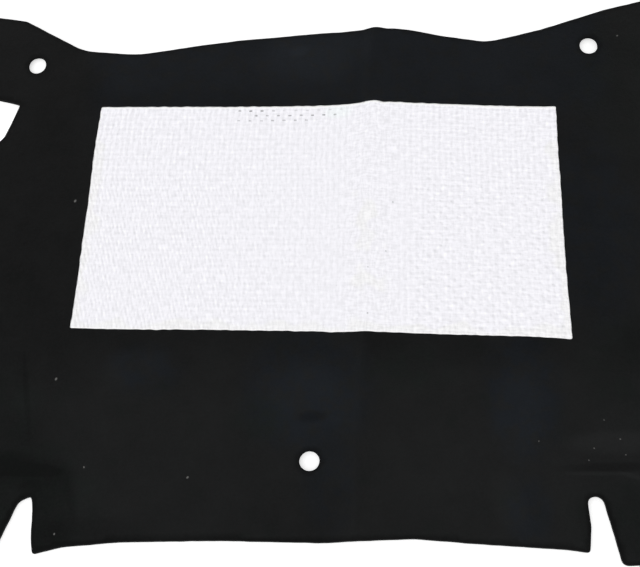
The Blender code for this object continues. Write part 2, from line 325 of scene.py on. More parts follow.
class FeltSettings(bpy.types.PropertyGroup):
    thickness: FloatProperty(
        name="Thickness", description="Thickness of the felt", default=0.006, unit="LENGTH",
    )
    rim_radius: FloatProperty(
        name="Rim radius", description="Rounding of the felt's cut edges", default=0.0013, unit="LENGTH",
    )
    net_pitch: FloatProperty(
        name="Net pitch", description="Spacing of the mesh over the felt", default=0.0046, unit="LENGTH",
    )
    rim_pitch: FloatProperty(
        name="Rim pitch", description="Spacing of the mesh along cut edges", default=0.0018, unit="LENGTH",
    )
    rim_raggedness: FloatProperty(
        name="Rim raggedness", description="Unevenness of the cut line", default=0.0003, unit="LENGTH",
    )
    crease_rise: FloatProperty(
        name="Crease rise", description="Rise of the rolls at the legs' roots", default=0.003, unit="LENGTH",
    )
    groove_depth: FloatProperty(
        name="Groove depth", description="Depth of the groove along each roll", default=0.0013, unit="LENGTH",
    )
    hole_press: FloatProperty(
        name="Hole press", description="Felt pressed thin at the clip holes", default=0.0045, unit="LENGTH",
    )
    swell_rise: FloatProperty(
        name="Swell rise", description="Rise behind the middle clip hole", default=0.0022, unit="LENGTH",
    )
    wave_rise: FloatProperty(
        name="Wave rise", description="Gentle waves of a limp sheet", default=0.0009, unit="LENGTH",
    )
    lump_rise: FloatProperty(
        name="Lump rise", description="Uneven thickness of the felt", default=0.00022, unit="LENGTH",
    )
    colour: FloatVectorProperty(
        name="Colour", description="Colour of the felt", default=(0.0086, 0.0090, 0.0091), subtype="COLOR",
    )
    lint_colour: FloatVectorProperty(
        name="Lint", description="Colour of the lint specks", default=(0.13, 0.13, 0.125), subtype="COLOR",
    )


class FoilSettings(bpy.types.PropertyGroup):
    width: FloatProperty(
        name="Width", description="Width of the foil", default=0.510, unit="LENGTH",
    )
    depth: FloatProperty(
        name="Depth", description="Depth of the foil, front to rear", default=0.2685, unit="LENGTH",
    )
    turn: FloatProperty(
        name="Turn", description="How far the foil is turned on the felt", default=radians(-2.265),
        subtype="ANGLE",
    )
    thickness: FloatProperty(
        name="Thickness", description="Thickness of the foil", default=0.00035, unit="LENGTH",
    )
    stand_off: FloatProperty(
        name="Stand-off", description="Height of the foil's middle over the felt", default=0.0007,
        unit="LENGTH",
    )
    pitch: FloatProperty(
        name="Pitch", description="Pitch of the embossed lattice", default=0.00635, unit="LENGTH",
    )
    emboss: FloatProperty(
        name="Emboss", description="Height of the embossing", default=0.00032, unit="LENGTH",
    )
    crumple: FloatProperty(
        name="Crumple", description="Crumpling along the fold", default=0.0006, unit="LENGTH",
    )
    corner_cut: FloatProperty(
        name="Corner cut", description="How much of each corner is nipped off", default=0.0012, unit="LENGTH",
    )
    colour: FloatVectorProperty(
        name="Colour", description="Colour of the foil", default=(0.896, 0.888, 0.931), subtype="COLOR",
    )
    stain_colour: FloatVectorProperty(
        name="Stain", description="Faint tint along the fold", default=(0.888, 0.883, 0.890),
        subtype="COLOR",
    )


class StageSettings(bpy.types.PropertyGroup):
    camera_place: FloatVectorProperty(
        name="Camera", description="Where the camera is", default=(0.0645, -0.4757, 1.0692),
        subtype="TRANSLATION", unit="LENGTH",
    )
    camera_target: FloatVectorProperty(
        name="Target", description="Point that the camera looks at", default=(0.01166, -0.03081, 0.006),
        subtype="TRANSLATION", unit="LENGTH",
    )
    camera_roll: FloatProperty(
        name="Roll", description="Turn of the camera about its view", default=radians(-7.77),
        subtype="ANGLE",
    )
    camera_lens: FloatProperty(
        name="Lens", description="Focal length in millimetres", default=62.44,
    )
    floor_colour: FloatVectorProperty(
        name="Floor", description="Colour of the floor", default=(0.86, 0.86, 0.86), subtype="COLOR",
    )
    floor_glow: FloatProperty(
        name="Floor glow", description="Light added to the floor where the camera sees it", default=0.54,
    )
    sky_strength: FloatProperty(
        name="Sky", description="Strength of the light from all around", default=0.62,
    )
    key_place: FloatVectorProperty(
        name="Key lamp's place", description="Where the lamp is, aimed at the pad's middle",
        default=(-1.4, -1.3, 1.9), subtype="TRANSLATION", unit="LENGTH",
    )
    key_power: FloatProperty(
        name="Key lamp", description="Power of the large soft lamp", default=26.0, unit="POWER",
    )
    key_size: FloatProperty(
        name="Key lamp's size", description="Width of the lamp, which the foil doesn't mirror",
        default=3.25, unit="LENGTH",
    )


class Wire:
    """A number in a material; arithmetic on it adds Math nodes."""

    def __init__(self, finish, socket):
        self.finish = finish
        self.socket = socket

    def math(self, operation, *values):
        return self.finish.node("ShaderNodeMath", {"operation": operation}, *values)

    def __add__(self, other):
        return self.math("ADD", self, other)

    def __sub__(self, other):
        return self.math("SUBTRACT", self, other)

    def __rsub__(self, other):
        return self.math("SUBTRACT", other, self)

    def __mul__(self, other):
        return self.math("MULTIPLY", self, other)

    def __truediv__(self, other):
        return self.math("DIVIDE", self, other)

    def __rtruediv__(self, other):
        return self.math("DIVIDE", other, self)

    def __pow__(self, other):
        return self.math("POWER", self, other)

    def wave(self):
        """Cosine, of an angle in radians."""
        return self.math("COSINE", self)

    def size(self):
        """Value without its sign."""
        return self.math("ABSOLUTE", self)

    def least(self, other):
        return self.math("MINIMUM", self, other)

    def most(self, other):
        return self.math("MAXIMUM", self, other)

    __radd__ = __add__
    __rmul__ = __mul__


class Finish:
    """A material, or the world, and the one way in which nodes are added to it."""

    def __init__(self, name, owner=None):
        self.owner = owner or bpy.data.materials.new(name)
        self.owner.use_nodes = True
        self.tree = self.owner.node_tree

    @property
    def shader(self):
        return self.tree.nodes["Principled BSDF"]

    def put(self, socket, value):
        """Link a wire to a socket, or set the socket's own value."""
        if isinstance(value, Wire):
            self.tree.links.new(value.socket, socket)
        else:
            socket.default_value = value

    def node(self, kind, settings=None, *values, out=0, **named):
        """Add a node; values fill its sockets in order, and named ones by name."""
        node = self.tree.nodes.new(kind)
        for name, setting in (settings or {}).items():
            setattr(node, name, setting)
        for place, value in enumerate(values):
            self.put(node.inputs[place], value)
        for name, value in named.items():
            self.put(node.inputs[name], value)
        return Wire(self, node.outputs[out])

    def place(self):
        return self.node("ShaderNodeTexCoord", out="Object")

    def sheet(self):
        """Place on the foil before it is cut and laid, in metres from its middle."""
        return self.node("ShaderNodeUVMap", {"uv_map": SHEET_MAP})

    def turned(self, vector, rotation=(0, 0, 0), scale=(1, 1, 1)):
        return self.node(
            "ShaderNodeMapping", {"vector_type": "POINT"}, Vector=vector, Rotation=rotation, Scale=scale,
        )

    def parts(self, vector):
        """X, Y and Z of a vector."""
        split = self.node("ShaderNodeSeparateXYZ", None, vector).socket.node
        return [Wire(self, socket) for socket in split.outputs]

    def noise(self, vector, scale, detail, roughness, distortion=0.0):
        return self.node(
            "ShaderNodeTexNoise", None, Vector=vector, Scale=scale, Detail=detail, Roughness=roughness,
            Distortion=distortion, out="Fac",
        )

    def strokes(self, scale):
        """Short strokes across the foil, from -1 to 1, as long as the scale stretches them."""
        grain = self.noise(self.turned(self.sheet(), scale=scale), *STROKE_GRAIN)
        return self.ramp(grain, 0.36, 0.64, -1.0, 1.0)

    def ramp(self, value, low, high, to_low=0.0, to_high=1.0, soft=True):
        """Map a value between two limits onto two others."""
        settings = {"interpolation_type": "SMOOTHSTEP" if soft else "LINEAR"}
        return self.node("ShaderNodeMapRange", settings, value, low, high, to_low, to_high)

    def mix(self, share, first, second, blend="MIX"):
        node = self.tree.nodes.new("ShaderNodeMix")
        node.data_type = "RGBA"
        node.blend_type = blend
        for socket, value in zip((node.inputs[0], node.inputs[6], node.inputs[7]), (share, first, second)):
            self.put(socket, value)
        return Wire(self, node.outputs[2])

    def spot(self, x, y, centre, radii, turn=0.0):
        """1 in the middle of an oval on the plan and 0 outside it, with a soft edge."""
        across = (x - centre[0]) * cos(turn) + (y - centre[1]) * sin(turn)
        along = (y - centre[1]) * cos(turn) - (x - centre[0]) * sin(turn)
        distance = (across / radii[0]) ** 2 + (along / radii[1]) ** 2
        return self.ramp(distance, 1.0, 0.0)

    def band(self, value, low, high, edge):
        """1 between two limits and 0 past them, with a soft edge."""
        return self.ramp(value, low, low + edge) * self.ramp(value, high, high - edge)

    def bump(self, height, distance, strength):
        return self.node("ShaderNodeBump", None, Height=height, Distance=distance, Strength=strength)


def opaque(colour):
    return (*colour, 1.0)


def shade(colour, factor):
    return tuple(channel * factor for channel in colour)


# Scale, detail, roughness and distortion of each noise: the felt's and the lint's, and then the foil's
BLOTCHES = (26.0, 3.0, 0.6)
FINE_NAP = (420.0, 4.0, 0.75)
MOTTLE = (75.0, 2.0, 0.6)
LINT_STRANDS = (700.0, 2.0, 0.6)
NEEDLE_PRICKS = (170.0, 2.0, 0.5)
FIBRES = (330.0, 3.0, 0.7, 0.6)
PATCHES = (34.0, 3.0, 0.6)
GLINTS_AND_SPECKS = (620.0, 1.0, 0.5)
LATTICE_BREAKS = (150.0, 2.0, 0.5)
STROKE_GRAIN = (430.0, 1.0, 0.5, 0.1)
DIMPLE_SHADE_PATCHES = (75.0, 1.0, 0.5)
STAIN_PATCHES = (32.0, 1.0, 0.5, 0.3)
WRINKLES = (260.0, 3.0, 0.65, 0.8)
FLOW = (120.0, 2.0, 0.5)

# Which ways the felt's fibres lie
FIBRE_TURNS = (0.3, 1.4, 2.5)

# The felt's colour runs from dark to light shares of the plain one as its light goes between two limits
LIGHT_RANGE = (-1.0, 1.4)
DARK_SHARE = 0.42
LIGHT_SHARE = 1.82
# Painted shade along the felt's rounded cut edges, taken off its light where the rim map is 1
RIM_PAINTED_SHADE = 1.1

# Broad changes in the felt's lightness, lighter towards the front, the rear and the right front and darker at
# the left end: along Y, the places where each starts and ends and the light at both, and along X, the places
# where the right half and the left end start and are full
FRONT_LIGHT = (-0.090, -0.155, -0.14, 0.30)
REAR_LIGHT = (0.190, 0.250, 0.0, 0.10)
RIGHT_HALF = (0.020, 0.120)
RIGHT_FRONT_LIGHT = (-0.120, -0.200, 0.0, 0.20)
LEFT_END = (-0.200, -0.262)
LEFT_END_DARK = (-0.160, -0.125, 0.0, 0.34)

# Lighter and darker places in the felt's colour, some patches of nap and some painted light and shade on the
# creases, the swell and its dimple: centre, radii, turn and how much lighter or darker
NAP_AND_PAINTED_LIGHT_PLACES = (
    ((0.002, 0.247), (0.076, 0.046), 0.0, 0.72),
    ((-0.010, 0.256), (0.016, 0.010), 0.3, 0.70),
    ((-0.130, 0.190), (0.160, 0.026), -0.04, -0.26),
    ((-0.330, 0.220), (0.120, 0.120), 0.0, -0.16),
    ((-0.300, 0.040), (0.070, 0.170), 0.0, -0.13),
    ((0.350, 0.270), (0.130, 0.110), 0.0, -0.24),
    ((0.300, 0.140), (0.070, 0.060), 0.0, -0.16),
    # Painted sheen on the swell, and painted shade in its dimple
    ((-0.001, -0.155), (0.066, 0.056), 0.0, 0.48),
    ((0.003, -0.174), (0.019, 0.008), 0.1, -0.80),
    ((0.189, -0.260), (0.022, 0.036), 0.3, 0.50),
    ((0.205, -0.172), (0.036, 0.062), 0.0, 0.32),
    ((-0.175, -0.118), (0.045, 0.026), 0.0, 0.35),
    ((-0.110, -0.178), (0.030, 0.035), 0.0, 0.22),
    ((-0.160, -0.078), (0.150, 0.030), 0.0, -0.24),
    ((0.074, -0.088), (0.040, 0.028), 0.0, -0.42),
    ((0.130, -0.108), (0.180, 0.022), 0.0, -0.12),
    # Painted shade in and around the left leg's crease
    ((-0.335, -0.220), (0.110, 0.112), 0.0, -0.72),
    ((-0.290, -0.222), (0.070, 0.020), -0.05, -0.34),
    ((-0.282, -0.2215), (0.052, 0.0082), -0.07, -0.85),
    ((-0.312, -0.212), (0.046, 0.018), -0.1, -0.30),
    ((-0.275, -0.239), (0.015, 0.010), 0.0, -0.45),
    ((-0.233, -0.250), (0.0065, 0.028), 0.25, -0.32),
    ((-0.249, -0.262), (0.030, 0.055), 0.0, -0.62),
    ((-0.235, -0.292), (0.085, 0.028), 0.12, -0.46),
    # Painted shade along the side crease
    ((-0.2865, -0.1435), (0.0042, 0.060), 0.157, -0.42),
    ((-0.005, -0.268), (0.066, 0.040), 0.0, -0.20),
    # The right leg's crease: a painted highlight on its roll, painted shade in its groove and painted
    # highlights on its lip
    ((0.298, -0.206), (0.066, 0.015), 0.0, 0.80),
    ((0.300, -0.230), (0.075, 0.0065), 0.0, -0.80),
    ((0.277, -0.2355), (0.038, 0.0030), -0.02, 0.70),
    ((0.309, -0.2385), (0.018, 0.0032), -0.30, 0.75),
    ((0.268, -0.272), (0.020, 0.034), 0.0, -0.30),
    ((0.305, -0.285), (0.062, 0.048), 0.0, -0.56),
    ((0.325, -0.130), (0.052, 0.060), 0.0, -0.34),
)

# Blue strip along the rear edge: where it starts along Y, its strength along X, and its two ends
REAR_BLUE = (0.140, 0.215)
REAR_BLUE_STRENGTH = (-0.060, 0.100, 0.95, 1.25)
REAR_BLUE_ENDS = (-0.265, 0.350, 0.050)
BLUE_TINT = (0.85, 1.0, 1.26, 1.0)
GREEN_TINT = (0.87, 1.03, 0.95, 1.0)

# Bluer and greener places in the felt: centre, radii and strength
BLUE_PLACES = (
    ((-0.001, -0.145), (0.080, 0.085), 0.9),
    ((0.212, -0.150), (0.048, 0.090), 1.0),
    ((-0.168, -0.120), (0.050, 0.036), 0.7),
    ((0.020, -0.235), (0.034, 0.070), 0.5),
    ((0.300, 0.030), (0.060, 0.150), 0.8),
    ((0.208, -0.270), (0.030, 0.044), 0.6),
)
GREEN_PLACES = (
    ((-0.290, -0.255), (0.105, 0.080), 1.0),
    ((-0.300, -0.160), (0.045, 0.060), 0.6),
    ((0.100, -0.128), (0.062, 0.034), 0.6),
    ((-0.052, -0.175), (0.038, 0.032), 0.6),
    ((0.315, -0.130), (0.060, 0.075), 0.5),
    ((0.300, -0.280), (0.070, 0.050), 0.6),
    ((0.350, 0.200), (0.070, 0.120), 0.5),
)

# Specks of lint on the felt: place and half length
LINT = (
    ((-0.254, 0.074), 0.0023),
    ((-0.222, -0.220), 0.0014),
    ((-0.119, -0.232), 0.0018),
    ((-0.246, -0.2846), 0.0015),
    ((0.2752, -0.2114), 0.0010),
    ((0.2695, -0.2225), 0.0009),
    ((0.301, -0.203), 0.0011),
    ((-0.2576, -0.1284), 0.0021),
    ((0.288, -0.183), 0.0009),
    ((0.3049, -0.2181), 0.0009),
    ((0.2233, -0.2028), 0.0009),
    ((0.349, 0.262), 0.0015),
)


def painted_light_and_nap(finish, x, y):
    """How much lighter or darker the felt is painted over the pad, apart from its fine grain: broad changes,
    patches of nap, and painted light and shade on the creases, the swell, its dimple and the cut edges.
    """
    light = finish.ramp(y, *FRONT_LIGHT) + finish.ramp(y, *REAR_LIGHT)
    light = light + finish.ramp(x, *RIGHT_HALF) * finish.ramp(y, *RIGHT_FRONT_LIGHT)
    light = light - finish.ramp(x, *LEFT_END) * finish.ramp(y, *LEFT_END_DARK)
    # Painted shade along the rounded cut edges
    light = light - finish.node("ShaderNodeAttribute", {"attribute_name": RIM_SHADE_MAP}, out="Fac") * RIM_PAINTED_SHADE
    for centre, radii, turn, gain in NAP_AND_PAINTED_LIGHT_PLACES:
        light = light + gain * finish.spot(x, y, centre, radii, turn)
    return light


def felt_tints(finish, x, y, blotches):
    """How blue and how green the black is at each point, both patchy."""
    blue = finish.ramp(y, *REAR_BLUE) * finish.ramp(x, *REAR_BLUE_STRENGTH)
    blue = blue * finish.band(x, *REAR_BLUE_ENDS)
    for centre, radii, strength in BLUE_PLACES:
        blue = blue.most(finish.spot(x, y, centre, radii) * strength)
    green = finish.ramp(blotches, 0.42, 0.30, 0.0, 0.35)
    for centre, radii, strength in GREEN_PLACES:
        green = green.most(finish.spot(x, y, centre, radii) * strength)
    mottle = finish.noise(finish.place(), *MOTTLE)
    blue = blue * finish.ramp(mottle, 0.34, 0.60, 0.35, 1.40)
    return blue, green * finish.ramp(mottle, 0.62, 0.40, 0.40, 1.40)


def lint_mask(finish, x, y):
    """1 on the specks of lint, each a short stringy oval."""
    specks = 0.0
    for centre, half_length in LINT:
        specks = specks + finish.spot(x, y, centre, (half_length, half_length * 0.7), centre[0] * 20)
    strands = finish.noise(finish.turned(finish.place(), scale=(1.0, 3.0, 1.0)), *LINT_STRANDS)
    return finish.ramp(specks * (0.6 + strands), 0.25, 0.60)


def felt_fibres(finish):
    """Height of the fibres, which lie three ways, and of the pricks that needling leaves."""
    fibres = finish.noise(finish.place(), *NEEDLE_PRICKS) * 2.0
    for turn in FIBRE_TURNS:
        stretched = finish.turned(finish.place(), rotation=(0, 0, turn), scale=(1.0, 7.0, 2.0))
        fibres = fibres + finish.noise(stretched, *FIBRES)
    return fibres


def felt_finish(settings):
    """Matt black needled felt, with patches of nap that lie lighter or darker, painted light and shade on its
    creases, swell and cut edges, and lint.
    """
    finish = Finish("needled_felt")
    x, y, _ = finish.parts(finish.place())
    blotches = finish.noise(finish.place(), *BLOTCHES)
    fine = finish.noise(finish.place(), *FINE_NAP)
    light = painted_light_and_nap(finish, x, y) + (blotches - 0.5) + (fine - 0.5) * 1.2
    colour = finish.mix(
        finish.ramp(light, *LIGHT_RANGE, soft=False),
        opaque(shade(settings.colour, DARK_SHARE)), opaque(shade(settings.colour, LIGHT_SHARE)),
    )
    blue, green = felt_tints(finish, x, y, blotches)
    colour = finish.mix(blue, colour, BLUE_TINT, "MULTIPLY")
    colour = finish.mix(green, colour, GREEN_TINT, "MULTIPLY")
    colour = finish.mix(lint_mask(finish, x, y), colour, opaque(settings.lint_colour))
    finish.put(finish.shader.inputs["Base Color"], colour)
    finish.put(finish.shader.inputs["Roughness"], finish.ramp(fine, 0.3, 0.7, 0.98, 0.88))
    finish.put(finish.shader.inputs["Normal"], finish.bump(felt_fibres(finish), 0.0004, 0.55))
    finish.shader.inputs["Specular IOR Level"].default_value = 0.06
    finish.shader.inputs["Sheen Weight"].default_value = 0.05
    finish.shader.inputs["Sheen Roughness"].default_value = 0.6
    return finish.owner


# Rows of small dimples near the foil's rear edge, whose shade is painted as dark dots: how far they lie off
# the embossing, half of a row's width, and then for each row its place, its start, its end and its strength
DIMPLE_SHIFT = (-0.0015, 0.0017)
DIMPLE_ROW_HALF_WIDTH = 0.003
DIMPLE_ROWS = (
    (0.1287, -0.104, -0.044, 0.52),
    (0.1287, -0.046, 0.022, 0.16),
    (0.12235, -0.082, 0.016, 0.52),
    (0.1160, -0.102, -0.006, 0.34),
)

# Tiny pits in the foil's crumpled band, their shade painted: place and radius, and how dark the painted shade
# is
PIT_PAINTED_SHADE = 0.34
PITS = (
    ((0.0760, 0.0120), 0.0013),
    ((0.0691, -0.0450), 0.0012),
    ((0.0507, -0.0640), 0.0012),
    ((0.0505, -0.1150), 0.0013),
)

# Parts of the foil in which the embossing shows differently: where each starts and where it is full
LEFT_PART = (0.050, -0.190)
LEFT_HALF = (0.040, -0.060)
RIGHT_PART = (0.075, 0.110)
REAR_PART = (0.020, 0.070)
FRONT_LEFT_PART = ((-0.120, -0.165), (-0.030, -0.085))

# Band along the fold, in which the embossing is crushed, and the narrower one that is stained
FOLD_PART = (0.020, 0.088, 0.014)
STAINED_PART = (0.026, 0.074, 0.012)

# Painted light and shade of the embossing's strokes: upright ones, level ones, slanting ones and the fine
# ones on the left
UPRIGHTS, REAR_UPRIGHTS, FRONT_LEFT_UPRIGHTS = 0.022, 0.009, 0.011
LEVELS, LEFT_LEVELS, RIGHT_LEVELS = 0.008, 0.012, 0.016
SLANTS, SHORT_SLANTS, BACK_SLANTS = 0.018, 0.011, 0.004
FINE_STROKES = 0.037

# Painted light of the loose strokes: upright and then level ones, each all over, at one side and on the fold
UPRIGHT_STREAK_LIGHT, LEFT_UPRIGHT_STREAK_LIGHT, FOLD_UPRIGHT_STREAK_LIGHT = 0.030, 0.012, 0.010
LEVEL_STREAK_LIGHT, RIGHT_LEVEL_STREAK_LIGHT, FOLD_LEVEL_STREAK_LIGHT = 0.022, 0.016, 0.018

# How much of the lattice's painted light is crushed on the fold, and the contrast of all the embossing's
# painted light
FOLD_CRUSH = 0.6
PAINTED_EMBOSS_CONTRAST = 1.06

# Painted gleam along the foil's cut edges: from and to which distance from the edge, and its light
SIDE_GLEAM = (0.0022, 0.0008, 0.0, 0.10)
REAR_GLEAM = (0.0034, 0.0020, 0.0, 0.14)

# Greenish spot at the rear edge beside the fold: place, radii, strength and colour
COOL_SPOT = ((0.014, 0.126), (0.020, 0.012))
COOL_SPOT_STRENGTH = 0.6
COOL_SPOT_COLOUR = (0.888, 0.939, 0.939, 1.0)


def lattice_waves(finish, u, v, settings):
    """Angles of the embossing's columns and rows, and how far its upright strokes lag behind the columns."""
    right = finish.ramp(u, *RIGHT_PART)
    rear = finish.ramp(v, *REAR_PART)
    column = u * (pi / settings.pitch)
    row = (v + (u - ROW_DROP_FROM).most(0.0) * ROW_DROP) * (pi / settings.pitch)
    row = row + finish.ramp(v, -0.120, 0.100, (1 - right) * 0.55, -0.95)
    lag = finish.ramp(u, -0.250, -0.100, 0.1, 1.0, soft=False)
    lag = lag + finish.ramp(u, rear * 0.06 - 0.10, rear * 0.09 + 0.02, 0.0, 2.0)
    return column, row, lag


def painted_emboss_light(finish, u, v, settings):
    """Painted light and shade of the strokes that the embossing shows: how much lighter or darker each point
    is painted.
    """
    left = finish.ramp(u, *LEFT_PART)
    left_half = finish.ramp(u, *LEFT_HALF)
    right = finish.ramp(u, *RIGHT_PART)
    rear = finish.ramp(v, *REAR_PART)
    on_fold = finish.band(u, *FOLD_PART)
    front_left = finish.ramp(u, *FRONT_LEFT_PART[0]) * finish.ramp(v, *FRONT_LEFT_PART[1])
    column, row, lag = lattice_waves(finish, u, v, settings)
    upright_light = UPRIGHTS + rear * REAR_UPRIGHTS - front_left * FRONT_LEFT_UPRIGHTS
    level_light = LEVELS + left_half * (1 - front_left) * LEFT_LEVELS + right * RIGHT_LEVELS
    lattice = (column * 2 - lag).wave() * upright_light + (row * 2 + 1.6).wave() * level_light
    slope = column + row + 2.4
    slants = slope.wave() * SLANTS - (slope * 2 + 0.26).wave() * SHORT_SLANTS
    lattice = lattice + slants * right * (1 - rear) + (column - row - 1.2).wave() * BACK_SLANTS
    fine = (column * 3 + row + 1.0 - u * 13.0 + v * 1.7).wave() * FINE_STROKES
    lattice = lattice + fine * left * (1 - rear)
    broken = finish.noise(finish.sheet(), *LATTICE_BREAKS)
    lattice = lattice * finish.ramp(broken, 0.36, 0.60, 0.40, 1.45) * (1 - on_fold * FOLD_CRUSH)
    upright_streak_light = UPRIGHT_STREAK_LIGHT + left * LEFT_UPRIGHT_STREAK_LIGHT + on_fold * FOLD_UPRIGHT_STREAK_LIGHT
    level_streak_light = LEVEL_STREAK_LIGHT + right * RIGHT_LEVEL_STREAK_LIGHT + on_fold * FOLD_LEVEL_STREAK_LIGHT
    grain = finish.strokes((1.0, 0.26, 1.0)) * upright_streak_light + finish.strokes((0.26, 1.0, 1.0)) * level_streak_light
    return (lattice + grain) * PAINTED_EMBOSS_CONTRAST


def painted_dimple_shade(finish, u, v, settings):
    """Painted shade of the small dimples near the rear edge and of the tiny pits on the fold."""
    across = ((u - DIMPLE_SHIFT[0]) * (pi / settings.pitch)).wave()
    along = ((v - DIMPLE_SHIFT[1]) * (pi / settings.pitch)).wave()
    dimple = finish.ramp(across * along, -0.50, -0.85) * finish.ramp(along.size(), 0.86, 0.97)
    depth = 0.0
    for row_place, start, end, strength in DIMPLE_ROWS:
        in_row = finish.band(v, row_place - DIMPLE_ROW_HALF_WIDTH, row_place + DIMPLE_ROW_HALF_WIDTH, 0.001)
        depth = depth + in_row * finish.band(u, start, end, 0.006) * strength
    # Patchy strength of the dimples' painted shade
    uneven = finish.ramp(finish.noise(finish.sheet(), *DIMPLE_SHADE_PATCHES), 0.30, 0.60, 0.55, 1.15)
    dark = dimple * depth * uneven
    for place, radius in PITS:
        dark = dark + finish.spot(u, v, place, (radius, radius)) * PIT_PAINTED_SHADE
    return dark


def foil_stains(finish, u, v, from_side):
    """1 where the foil is stained: in spots on the fold's front part, and in patches along its sides."""
    soft = finish.noise(finish.sheet(), *STAIN_PATCHES)
    on_fold = finish.band(u, *STAINED_PART) * finish.ramp(v, 0.035, 0.010)
    near_side = from_side.most(0.0) - finish.ramp(v, 0.080, 0.125, 0.0, -0.030)
    at_side = finish.ramp(near_side + (soft - 0.5) * 0.034, 0.0125, 0.0050)
    return (finish.ramp(soft, 0.50, 0.64) * on_fold).most(at_side)


def foil_finish(settings):
    """Bright embossed foil: painted light and shade of its embossed strokes, painted shade in the dimples
    near the rear edge, a painted gleam on the cut rim, painted glints and dark specks, and faint stains.
    """
    finish = Finish("embossed_foil")
    u, v, _ = finish.parts(finish.sheet())
    patchy = finish.noise(finish.sheet(), *PATCHES)
    glints_and_specks = finish.noise(finish.sheet(), *GLINTS_AND_SPECKS)
    light = 1.0 + painted_emboss_light(finish, u, v, settings) + (patchy - 0.5) * 0.03
    # Painted glints where the noise is high, and dark specks where it is low
    light = light + finish.ramp(glints_and_specks, 0.66, 0.76) * 0.10 - finish.ramp(glints_and_specks, 0.33, 0.25) * 0.12
    light = light - painted_dimple_shade(finish, u, v, settings)
    from_side = (settings.width / 2 - u.size()).least(settings.depth / 2 - v.size())
    # Painted gleam along the cut edges
    light = light + finish.ramp(from_side, *SIDE_GLEAM) + finish.ramp(settings.depth / 2 - v, *REAR_GLEAM)
    stains = foil_stains(finish, u, v, from_side)
    colour = finish.mix(stains * 0.9, opaque(settings.colour), opaque(settings.stain_colour))
    cool = finish.spot(u, v, *COOL_SPOT) * COOL_SPOT_STRENGTH
    colour = finish.mix(cool, colour, COOL_SPOT_COLOUR)
    colour = finish.node("ShaderNodeVectorMath", {"operation": "SCALE"}, colour, Scale=light)
    finish.put(finish.shader.inputs["Base Color"], colour)
    finish.put(finish.shader.inputs["Roughness"], 0.30 + patchy * 0.16)
    wrinkles = finish.noise(finish.sheet(), *WRINKLES)
    flow = finish.noise(finish.turned(finish.sheet(), scale=(1.0, 0.35, 1.0)), *FLOW)
    finish.put(finish.shader.inputs["Normal"], finish.bump(wrinkles + flow, 0.00025, 0.35))
    finish.shader.inputs["Metallic"].default_value = 1.0
    return finish.owner


def show(name, mesh, material):
    mesh.materials.append(material)
    piece = bpy.data.objects.new(name, mesh)
    bpy.context.scene.collection.objects.link(piece)
    return piece


def cut_line(rim_pitch, raggedness):
    """The pad's cut edges as closed rings on Z = 0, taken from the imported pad's upright sides."""
    rings = bmesh.new()
    rings.from_mesh(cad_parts["felt_pad"].data)
    bmesh.ops.remove_doubles(rings, verts=rings.verts, dist=SAME_POINT)
    sloping = [face for face in rings.faces if abs(face.normal.z) > UPRIGHT_BELOW]
    bmesh.ops.delete(rings, geom=sloping, context="FACES")
    for vert in rings.verts:
        vert.co.z = 0
    bmesh.ops.remove_doubles(rings, verts=rings.verts, dist=SAME_CORNER)
    bmesh.ops.dissolve_degenerate(rings, edges=rings.edges, dist=SHORT_FACET)
    bmesh.ops.delete(rings, geom=rings.faces[:], context="FACES_ONLY")
    by_cuts = {}
    for edge in rings.edges:
        cuts = ceil(edge.calc_length() / rim_pitch) - 1
        by_cuts.setdefault(cuts, []).append(edge)
    for cuts, edges in sorted(by_cuts.items(), key=lambda item: item[0]):
        if cuts > 0:
            bmesh.ops.subdivide_edges(rings, edges=edges, cuts=cuts)
    for _ in range(CUT_ROUNDING_PASSES):
        bmesh.ops.smooth_vert(rings, verts=rings.verts, factor=0.5, use_axis_x=True, use_axis_y=True)
    stretch_rear_holes(rings)
    for vert in rings.verts:
        spot = vert.co * RAGS
        vert.co.x += raggedness * noise.noise(spot)
        vert.co.y += raggedness * noise.noise(spot + Vector((31.7, 11.3, 5.9)))
    return rings


def stretch_rear_holes(rings):
    """Lengthen the two rear clip holes front to rear, and move them a little to the rear."""
    for hole_x, hole_y in CLIP_HOLES[:2]:
        middle = Vector((hole_x, hole_y, 0))
        near = [vert for vert in rings.verts if (vert.co - middle).length < REAR_HOLE_REACH]
        bmesh.ops.scale(
            rings, vec=(1, REAR_HOLE_STRETCH, 1), space=Matrix.Translation(-middle), verts=near,
        )
        bmesh.ops.translate(rings, vec=(0, REAR_HOLE_SHIFT, 0), verts=near)


def is_level(face):
    return abs(face.normal.z) > LEVEL_ABOVE


def drop_outside(net, rings, margin):
    """Remove the net's points that lie off the pad or within a margin of its cut edges."""
    sheet = rings.copy()
    bmesh.ops.triangle_fill(sheet, use_beauty=False, use_dissolve=False, edges=sheet.edges)
    inside = BVHTree.FromBMesh(sheet)
    sheet.free()
    near = KDTree(len(rings.verts))
    for index, vert in enumerate(rings.verts):
        near.insert(vert.co, index)
    near.balance()
    up = Vector((0, 0, 1))
    outside = []
    for vert in net.verts:
        if near.find(vert.co)[2] < margin or inside.ray_cast(vert.co - up, up)[0] is None:
            outside.append(vert)
    while outside:
        bmesh.ops.delete(net, geom=outside, context="VERTS")
        outside = [vert for vert in net.verts if sum(edge.is_boundary for edge in vert.link_edges) > 2]
        outside += [vert for vert in net.verts if not vert.link_faces]
    bmesh.ops.delete(net, geom=[edge for edge in net.edges if edge.is_wire], context="EDGES")


